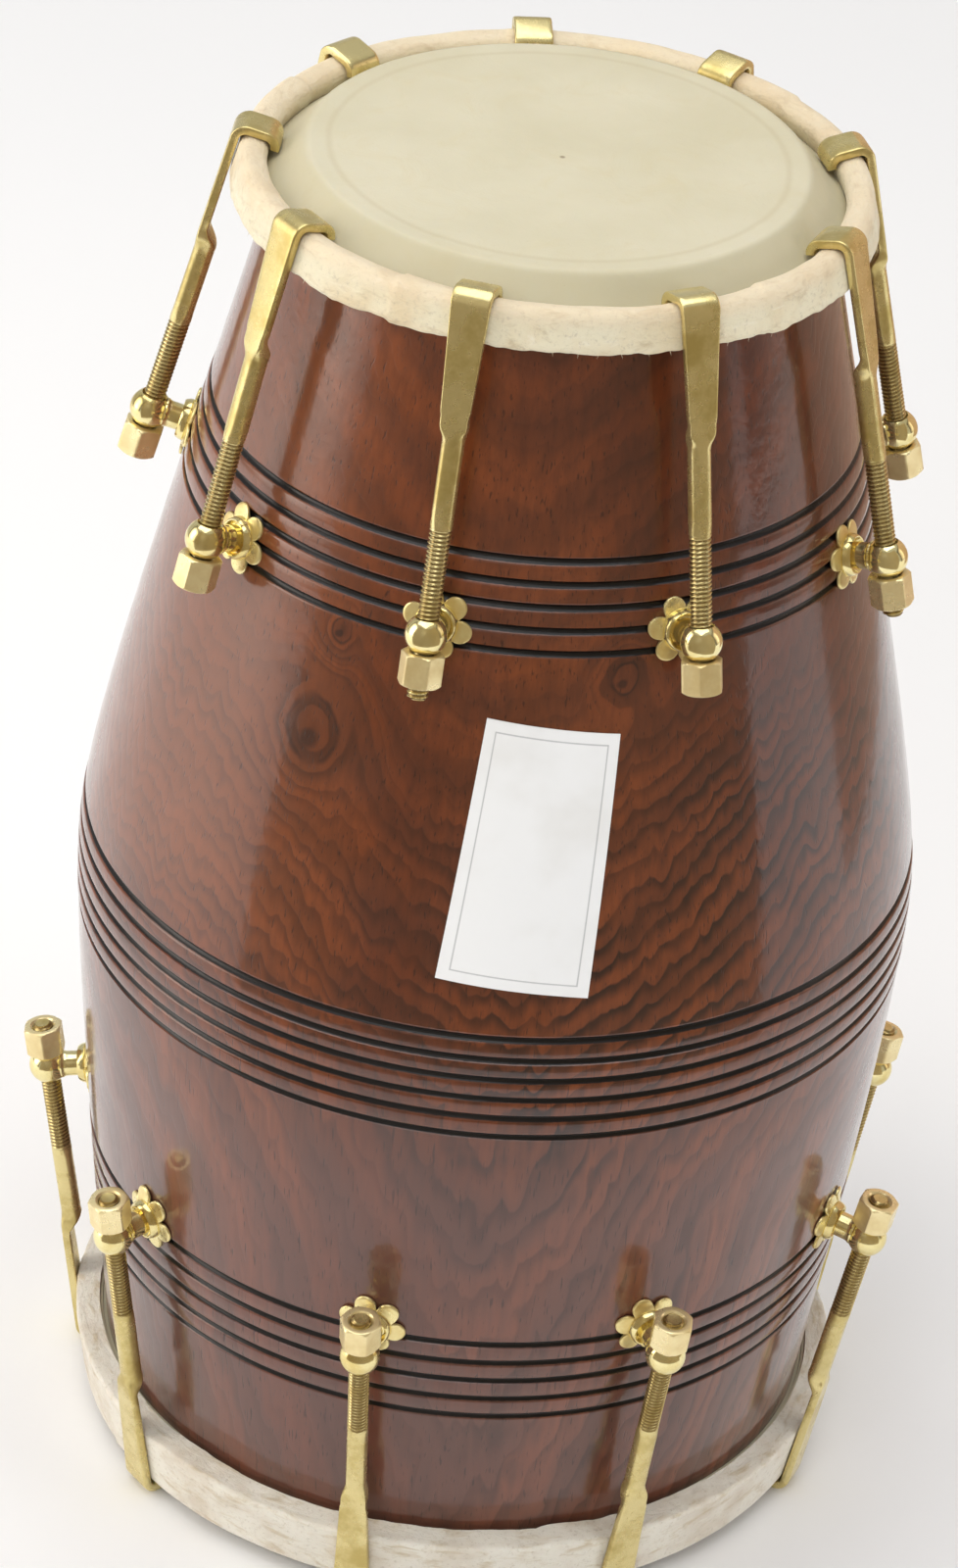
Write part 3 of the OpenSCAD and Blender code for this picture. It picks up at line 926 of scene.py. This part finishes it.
def wood_rings(s):
    """Figure of the wood as a rising height: deep V shapes at the front, and circles round the knots.

    Also gives how dark the knots make a spot, and how near it is to one."""
    x, y, z = s.parts()
    turn = s.math("ABSOLUTE", s.math("ARCTAN2", x, s.times(y, -1.0)))
    around = s.math("SQRT", s.add(s.times(turn, turn), 0.03))
    steep = s.remap(z, 0.12, 0.24, 0.125, 0.085)
    height = s.add(s.math("MAXIMUM", z, 0.19), s.times(s.math("MINIMUM", s.add(z, -0.19), 0.0), 0.35))
    drift = s.noise(6.5, 1, at=s.stretched(1, 1, 0.8))
    wave = s.noise(30.0, 2, at=s.stretched(1, 1, 0.7))
    scallop = s.math("ABSOLUTE", s.math("SUBTRACT", s.noise(100.0, 1, at=s.stretched(1, 1, 0.25)), 0.5))
    fine = s.noise(560.0, 2, at=s.stretched(1, 1, 0.3))
    field = s.math("SUBTRACT", height, s.times(around, steep))
    field = s.add(field, s.times(drift, 0.07))
    field = s.add(field, s.times(wave, 0.014))
    field = s.add(field, s.times(scallop, 0.022))
    field = s.add(field, s.times(fine, 0.0011))
    core, near = 0.0, 0.0
    for azimuth, level, size in KNOTS:
        warped = s.vector("ADD", s.place, warp_of(s))
        away = s.vector("SUBTRACT", warped, knot_place(azimuth, level))
        gap = s.vector("LENGTH", s.vector("MULTIPLY", away, (1, 1, 0.8)))
        hold = s.remap(gap, 1.0 * size, 4.2 * size, 1.0, 0.0)
        hold = s.times(hold, hold)
        circles = s.math("SUBTRACT", level, s.times(gap, 1.3))
        field = s.add(s.times(field, s.math("SUBTRACT", 1.0, hold)), s.times(circles, hold))
        off_rim = s.math("ABSOLUTE", s.math("SUBTRACT", gap, 0.92 * size))
        rim = s.remap(off_rim, 0.0, 0.2 * size, 1.0, 0.0)
        rim = s.times(rim, s.remap(s.noise(130.0, 2), 0.35, 0.6, 0.25, 0.8))
        inside = s.remap(gap, 0.8 * size, 1.1 * size, 0.3, 0.0)
        to_eye = s.vector("DISTANCE", warped, knot_place(azimuth - 0.6, level - 0.35 * size))
        eye = s.remap(to_eye, 0.2 * size, 0.6 * size, 0.9, 0.0)
        core = s.math("MAXIMUM", core, s.math("MAXIMUM", eye, s.math("MAXIMUM", rim, inside)))
        near = s.math("MAXIMUM", near, hold)
    return field, core, near


def warp_of(s):
    """A small offset that keeps the knots from being round."""
    sideways = s.times(s.add(s.noise(90.0, 2), -0.5), 6 * MM)
    upwards = s.times(s.add(s.noise(80.0, 2, at=s.stretched(1, 1, -1)), -0.5), 6 * MM)
    return s.joined(sideways, None, upwards)


def rosewood():
    s = Shader("lacquered_rosewood")
    field, core, near = wood_rings(s)
    phase = s.math("FRACT", s.times(field, 1 / LINE_GAP))
    line = s.math("MAXIMUM", s.remap(phase, 0.0, 0.12, 1.0, 0.0), s.remap(phase, 0.35, 1.0, 0.0, 1.0))
    slow = s.math("SINE", s.times(field, TAU / BAND_GAP))
    x, _, z = s.parts()
    side = s.remap(x, -0.035, 0.03, 0.45, 1.0)
    patch = s.remap(s.noise(11.0, 2, at=s.stretched(1, 1, 0.8)), 0.36, 0.6, 0.5, 1.0)
    strength = s.times(s.times(side, patch), s.remap(s.noise(70.0, 2), 0.3, 0.6, 0.5, 1.0))
    strength = s.times(strength, s.remap(z, 0.275, 0.325, 1.0, 0.22))
    low = s.remap(z, 0.14, 0.19, 1.0, 0.0)
    strength = s.times(strength, s.remap(low, 0.0, 1.0, 1.0, 0.5))
    strength = s.math("MAXIMUM", strength, s.times(near, 0.5))
    tone = s.noise(13.0, 3, at=s.stretched(1, 1, 0.35))
    fibre = s.noise(420.0, 3, 0.6, at=s.stretched(1, 1, 0.045))
    base = s.mix(s.remap(tone, 0.3, 0.7), rgb(95, 43, 18), rgb(127, 63, 26))
    base = s.mix(s.remap(fibre, 0.3, 0.75, 0.0, 0.45), base, rgb(66, 33, 17))
    base = s.mix(s.times(s.remap(slow, -1.0, 1.0), s.remap(low, 0.0, 1.0, 0.4, 0.65)), base, rgb(60, 31, 20))
    # painted light: the upper left of the shell is mixed lighter and warmer orange, for the warm light that falls
    # on that side
    base = s.mix(s.times(s.remap(x, -0.09, -0.03, 0.5, 0.0), s.remap(z, 0.2, 0.24)), base, rgb(142, 78, 38))
    # painted reflection: the lower part of the shell is mixed toward a pale purple-grey, standing in for the
    # floor mirrored in the lacquer
    base = s.mix(s.times(low, 0.3), base, rgb(124, 88, 80))
    base = s.mix(s.times(s.times(line, strength), 0.92), base, rgb(34, 18, 12))
    base = s.mix(s.times(core, 0.85), base, rgb(34, 18, 15))
    pore = s.remap(s.noise(1500.0, 1, at=s.stretched(1, 1, 0.05)), 0.63, 0.74)
    base = s.mix(s.times(pore, 0.55), base, rgb(30, 15, 12))
    paint = s.node("ShaderNodeAttribute", attribute_name="paint").outputs["Fac"]
    painted = s.remap(s.add(paint, s.times(s.noise(600.0, 2), 0.25)), 0.3, 0.55)
    base = s.mix(painted, base, rgb(16, 12, 13))
    worn = s.noise(35.0, 4, 0.6)
    peel = s.noise(260.0, 2)
    s.set(base_color=base, roughness=s.remap(worn, 0.3, 0.7, 0.32, 0.46), specular_ior_level=0.3)
    s.set(coat_weight=s.remap(painted, 0.0, 1.0, 1.0, 0.3))
    s.set(coat_roughness=s.remap(s.noise(90.0, 4, 0.65), 0.35, 0.75, 0.09, 0.17))
    relief = s.bump(pore, -0.00004)
    s.set(normal=s.bump(line, -0.00003, relief), coat_normal=s.bump(peel, 0.00007, s.bump(pore, -0.00001)))
    return s.material


def rawhide():
    s = Shader("rawhide_skin")
    r = s.off_axis()
    cloud = s.noise(14.0, 4, 0.6)
    vein = s.noise(55.0, 5, 0.7, twist=0.8)
    grain = s.noise(1700.0, 2, 0.6)
    base = s.mix(s.remap(cloud, 0.3, 0.7), rgb(205, 197, 167), rgb(214, 207, 181))
    base = s.mix(s.remap(vein, 0.5, 0.8, 0.0, 0.35), base, rgb(205, 190, 148))
    worn = s.math("ABSOLUTE", s.math("SUBTRACT", s.add(r, s.times(cloud, 3 * MM)), PRINT_R))
    base = s.mix(s.remap(worn, 0.0, 1.6 * MM, 0.22, 0.0), base, rgb(178, 160, 116))
    # painted shade: the treble skin's slope beyond the flat playing face is mixed darker and greyer, for the
    # shade that falls on it
    slope = s.remap(r, FLAT_R["treble"] - 0.4 * MM, FLAT_R["treble"] + 1.6 * MM, 0.0, 0.5)
    near_top = s.remap(s.height(), DRUM_H - 40 * MM, DRUM_H - 39 * MM)
    base = s.mix(s.times(slope, near_top), base, rgb(186, 178, 146))
    speck = s.remap(s.vector("DISTANCE", s.place, (MM, -2 * MM, DRUM_H)), 0.4 * MM, 1.1 * MM, 0.7, 0.0)
    base = s.mix(speck, base, rgb(120, 100, 70))
    flecks = s.remap(s.cells(330.0), 0.0, 0.1, 0.25, 0.0)
    base = s.mix(flecks, base, rgb(170, 150, 112))
    s.set(base_color=base, roughness=s.remap(vein, 0.3, 0.7, 0.42, 0.6), specular_ior_level=0.4)
    s.set(subsurface_weight=0.15, subsurface_radius=(0.003, 0.002, 0.001), sheen_weight=0.08)
    s.set(normal=s.bump(grain, 0.00003, s.bump(vein, 0.00025)))
    return s.material


def hide():
    """Rough hide: pale blotches, strands that run round the hoop, and a darker fuzzy nap."""
    s = Shader("hide_wrap")
    x, y, z = s.parts()
    around = s.joined(s.times(s.math("ARCTAN2", y, x), 0.1), s.times(z, 2.6), s.times(s.off_axis(), 2.6))
    low = s.remap(z, 0.1, 0.2, 1.0, 0.0)
    strand = s.noise(95.0, 5, 0.65, at=around, twist=0.5)
    blotch = s.noise(38.0, 3, 0.6)
    nap = s.noise(700.0, 4, 0.75)
    inner = s.remap(z, DRUM_H - 9 * MM, DRUM_H - 4 * MM, 0.0, 0.5)
    pale = s.mix(low, rgb(231, 222, 194), rgb(234, 229, 216))
    warm = s.mix(low, rgb(220, 202, 166), rgb(214, 202, 184))
    base = s.mix(s.remap(blotch, 0.42, 0.7), pale, warm)
    base = s.mix(s.remap(strand, 0.5, 0.72, 0.0, 0.75), base, rgb(196, 178, 144))
    base = s.mix(s.remap(strand, 0.22, 0.4, 0.65, 0.0), base, rgb(246, 240, 226))
    base = s.mix(s.remap(nap, 0.52, 0.72, 0.0, 0.5), base, rgb(182, 170, 148))
    base = s.mix(inner, base, rgb(232, 210, 178))
    s.set(base_color=base, roughness=s.remap(strand, 0.3, 0.7, 0.55, 0.85), specular_ior_level=0.3)
    s.set(subsurface_weight=0.1, subsurface_radius=(0.003, 0.002, 0.0012), sheen_weight=0.15)
    s.set(normal=s.bump(nap, 0.0002, s.bump(strand, 0.0008)))
    return s.material


def brass(name, colour, dull, roughness, brushed, metallic=0.85):
    """Brass with handling marks. Satin brass is brushed along the rod, and its thread valleys are coloured
    darker.
    """
    s = Shader(name)
    own = s.node("ShaderNodeObjectInfo").outputs["Random"]
    shifted = s.vector("ADD", s.place, s.joined(s.times(own, 3.0), s.times(own, 7.0)))
    smear = s.noise(70.0, 4, 0.65, at=shifted)
    spots = s.noise(420.0, 3, 0.6, at=shifted)
    along = s.vector("MULTIPLY", shifted, (1, 1, 0.03))
    scratch = s.noise(2600.0, 2, 0.6, at=along)
    base = s.mix(s.remap(smear, 0.38, 0.7), colour, dull)
    base = s.mix(s.remap(spots, 0.6, 0.78, 0.0, 0.5), base, dull)
    rough = s.remap(smear, 0.3, 0.7, roughness * 0.75, roughness * 1.35)
    rough = s.add(rough, s.remap(spots, 0.55, 0.75, 0.0, 0.1))
    s.set(base_color=base, metallic=metallic, roughness=rough)
    s.set(normal=s.bump(scratch, 0.00001 * brushed, s.bump(smear, 0.00008)))
    return s, base


def polished_brass():
    return brass("polished_brass", rgb(250, 238, 180), rgb(228, 206, 134), 0.12, 0.3, 0.92)[0].material


def satin_brass():
    s, base = brass("satin_brass", rgb(232, 216, 156), rgb(200, 180, 112), 0.25, 1.0)
    thread = s.remap(s.height(), THREAD_END - MM, THREAD_END, 1.0, 0.0)
    r = s.off_axis()
    valley = s.remap(r, ROD_R - THREAD_D, ROD_R, 1.0, 0.0)
    end_face = s.remap(r, ROD_R - 3 * THREAD_D, ROD_R - 1.5 * THREAD_D)
    # the thread valleys, away from the rod's end face, are coloured darker brown
    valley_darkening = s.times(s.times(thread, valley), end_face)
    s.set(base_color=s.mix(s.times(valley_darkening, 0.75), base, rgb(120, 92, 50)))
    return s.material


def stamped_brass():
    return brass("stamped_brass", rgb(250, 236, 174), rgb(232, 208, 138), 0.3, 0.2, 0.8)[0].material


def nut_brass():
    return brass("nut_brass", rgb(252, 236, 184), rgb(234, 212, 154), 0.3, 0.7, 0.72)[0].material


def metal(name, colour, dull, roughness):
    s = Shader(name)
    patch = s.noise(240.0, 4, 0.65)
    pits = s.noise(1500.0, 2)
    s.set(base_color=s.mix(s.remap(patch, 0.4, 0.65), colour, dull), metallic=1.0)
    s.set(roughness=s.remap(patch, 0.3, 0.7, roughness, roughness + 0.25))
    s.set(normal=s.bump(pits, 0.00005))
    return s.material


def tuning_paste():
    s = Shader("tuning_paste")
    lumps = s.noise(160.0, 4, 0.6)
    cracks = s.cells(170.0, feature="DISTANCE_TO_EDGE")
    base = s.mix(s.remap(lumps, 0.3, 0.7), rgb(36, 34, 34), rgb(58, 54, 52))
    s.set(base_color=base, roughness=s.remap(lumps, 0.3, 0.7, 0.6, 0.85))
    s.set(normal=s.bump(s.remap(cracks, 0.0, 0.05), 0.0002, s.bump(lumps, 0.0003)))
    return s.material


def label_paper():
    s = Shader("label_paper")
    at = s.node("ShaderNodeAttribute", attribute_name="sheet").outputs["Vector"]
    u, v, _ = s.parts(at)
    from_side = s.times(s.math("MINIMUM", u, s.math("SUBTRACT", 1.0, u)), LABEL_W)
    from_end = s.times(s.math("MINIMUM", v, s.math("SUBTRACT", 1.0, v)), LABEL_H)
    inset = s.math("MINIMUM", from_side, from_end)
    off_line = s.math("ABSOLUTE", s.math("SUBTRACT", inset, 3.4 * MM))
    fibre = s.noise(900.0, 3, 0.6)
    smudge = s.noise(45.0, 3)
    base = s.mix(s.remap(smudge, 0.4, 0.75), rgb(244, 244, 243), rgb(236, 235, 232))
    base = s.mix(s.remap(off_line, 0.16 * MM, 0.26 * MM, 0.55, 0.0), base, rgb(150, 150, 152))
    s.set(base_color=base, roughness=s.remap(smudge, 0.3, 0.7, 0.28, 0.42), specular_ior_level=0.5)
    s.set(normal=s.bump(fibre, 0.00001, s.bump(smudge, 0.0002)))
    return s.material


# ---- the object

def paint_cad(material, *nodes):
    for node in nodes:
        obj = frame["nodes"][node]
        obj.data.materials.clear()
        obj.data.materials.append(material)


def build_drum():
    polished, satin, nuts, stamped = polished_brass(), satin_brass(), nut_brass(), stamped_brass()
    skin, wrap = rawhide(), hide()
    build_shell(rosewood())
    build_label(label_paper())
    for head in HEADS:
        build_skin(head, skin)
        build_wrap(head, wrap)
        build_fibres(head, wrap)
        build_hooks(head, satin)
        build_eye_bolts(head, polished)
        build_flowers(head, stamped)
    build_nuts(nuts)


def paint_hidden_parts():
    iron = metal("hoop_iron", rgb(92, 88, 86), rgb(120, 84, 62), 0.45)
    steel = metal("plated_steel", rgb(190, 190, 188), rgb(160, 160, 156), 0.28)
    paint_cad(iron, "treble_hoop_core", "bass_hoop_core")
    for head in HEADS:
        paint_cad(steel, f"{head}_inner_washers", f"{head}_inner_nuts")
    paint_cad(tuning_paste(), "bass_head_paste")


# ---- floor, light, camera

def build_floor():
    """A pale floor that runs up into a distant backdrop, which glows a little for the camera only."""
    segments, low = 96, -0.6 * MM
    circles = [(0.4, low), (1.0, low), (2.5, low), (6.0, low), (7.5, 0.35), (8.2, 1.4), (8.4, 4.0)]
    verts = [(0, 0, low)] + [v for r, z in circles for v in ring(r, z, segments)]
    faces = [(0, 1 + k, 1 + (k + 1) % segments) for k in range(segments)]
    faces += [tuple(n + 1 for n in face) for face in grid_faces(len(circles), segments)]
    floor = make_object("floor", verts, faces, 80)
    s = Shader("floor_paper")
    tint = s.noise(3.0, 2)
    s.set(base_color=s.mix(tint, rgb(250, 250, 250), rgb(247, 247, 248)))
    s.set(roughness=0.75, specular_ior_level=0.2)
    far = s.remap(s.vector("LENGTH", s.place), 1.5, 6.0, 0.0, 0.5)
    seen = s.node("ShaderNodeLightPath").outputs["Is Camera Ray"]
    s.set(emission_color=(1.0, 1.0, 1.0, 1.0), emission_strength=s.times(far, seen))
    s.set(normal=s.bump(s.noise(400.0, 2), 0.00004))
    floor.data.materials.append(s.material)


def aim(obj, place, front):
    """Stands an object at a place and turns its front to the middle of the drum."""
    obj.location = place
    obj.rotation_mode = "QUATERNION"
    obj.rotation_quaternion = (Vector(MIDDLE) - Vector(place)).to_track_quat(front, "Y")


def lamp(name, kind, place, power):
    obj = bpy.data.objects.new(name, bpy.data.lights.new(name, kind))
    bpy.context.scene.collection.objects.link(obj)
    obj.data.energy = power
    aim(obj, place, "-Z")
    return obj


def soft_box(name, place, size, power):
    light = lamp(name, "AREA", place, power).data
    light.shape = "RECTANGLE"
    light.size = size
    light.size_y = size


def fill_lamp(name, place, power):
    """A soft lamp that lights the side of the drum without showing in the lacquer."""
    obj = lamp(name, "POINT", place, power)
    obj.data.shadow_soft_size = 0.4
    obj.visible_glossy = False


def glow_card(name, place, width, height, colour, power):
    """A glowing card that fades out towards its edges, so that its mirror image has no hard border."""
    corners = [(x * width / 2, y * height / 2, 0) for x, y in ((-1, -1), (1, -1), (1, 1), (-1, 1))]
    card = make_object(f"{name}_card", corners, [(0, 1, 2, 3)])
    s = Shader(f"{name}_glow")
    x, y, _ = s.parts()
    fade_x = s.remap(s.math("ABSOLUTE", x), 0.0, 0.5 * width, 1.0, 0.0)
    fade_y = s.remap(s.math("ABSOLUTE", y), 0.2 * height, 0.5 * height, 1.0, 0.0)
    s.set(base_color=(0, 0, 0, 1), specular_ior_level=0.0, emission_color=(*colour, 1.0))
    s.set(emission_strength=s.times(s.times(fade_x, fade_y), power))
    card.data.materials.append(s.material)
    aim(card, place, "Z")
    card.visible_camera = False
    card.visible_shadow = False


def build_light():
    world = bpy.data.worlds.new("studio")
    bpy.context.scene.world = world
    world.use_nodes = True
    sky = world.node_tree.nodes["Background"]
    sky.inputs["Color"].default_value = (1, 1, 1, 1)
    sky.inputs["Strength"].default_value = 0.44
    soft_box("overhead", (-0.2, 0.2, 2.6), 2.4, 35)
    glow_card("left", (-1.7, -0.2, 0.8), 2.0, 2.2, (1.0, 0.93, 0.85), 4.0)
    glow_card("right", (1.8, 0.4, 0.8), 1.8, 2.2, (1.0, 0.86, 0.74), 1.5)
    soft_box("front", (-0.7, -2.2, 1.9), 1.0, 12)
    fill_lamp("fill_left", (-1.9, -0.9, 0.7), 12)
    fill_lamp("fill_right", (1.9, -0.9, 0.7), 28)
    build_flag("front_flag", 0.46, -148, -22, rgb(156, 142, 118))
    build_flag("back_flag", 0.7, 12, 80, rgb(190, 162, 142))


def build_flag(name, radius, start, end, colour):
    """A curved card beside the drum that only mirrors in it, as a studio's flag does."""
    columns = 20
    angles = [math.radians(lerp(start, end, k / columns)) for k in range(columns + 1)]
    verts = [(radius * math.cos(a), radius * math.sin(a), z) for z in (0.012, 0.9) for a in angles]
    flag = make_object(name, verts, grid_faces(2, columns + 1, wrap_cols=False), 80)
    s = Shader(f"{name}_cloth")
    s.set(base_color=colour, roughness=0.9, specular_ior_level=0.0)
    s.set(normal=s.bump(s.noise(500.0, 2), 0.0001))
    flag.data.materials.append(s.material)
    flag.visible_camera = False
    flag.visible_diffuse = False
    flag.visible_shadow = False
    flag.visible_transmission = False


def build_camera():
    """The photo's view: from in front, 32 degrees down, rolled 5 degrees."""
    camera = bpy.data.objects.new("camera", bpy.data.cameras.new("camera"))
    bpy.context.scene.collection.objects.link(camera)
    pan, pitch, roll = CAMERA_TURN
    ahead = Vector((math.sin(pan) * math.cos(pitch), math.cos(pan) * math.cos(pitch), -math.sin(pitch)))
    right = Vector((math.cos(pan), -math.sin(pan), 0))
    down = ahead.cross(right)
    across = right * math.cos(roll) + down * math.sin(roll)
    below = down * math.cos(roll) - right * math.sin(roll)
    turn = Matrix((across, -below, -ahead)).transposed()
    camera.rotation_mode = "QUATERNION"
    camera.rotation_quaternion = turn.to_quaternion()
    camera.location = CAMERA_PLACE
    camera.data.sensor_width = SENSOR_W
    camera.data.lens = LENS
    camera.data.clip_start = 0.05
    camera.data.clip_end = 60
    bpy.context.scene.camera = camera


build_drum()
paint_hidden_parts()
build_floor()
build_light()
build_camera()
bpy.context.scene.view_settings.view_transform = "Standard"
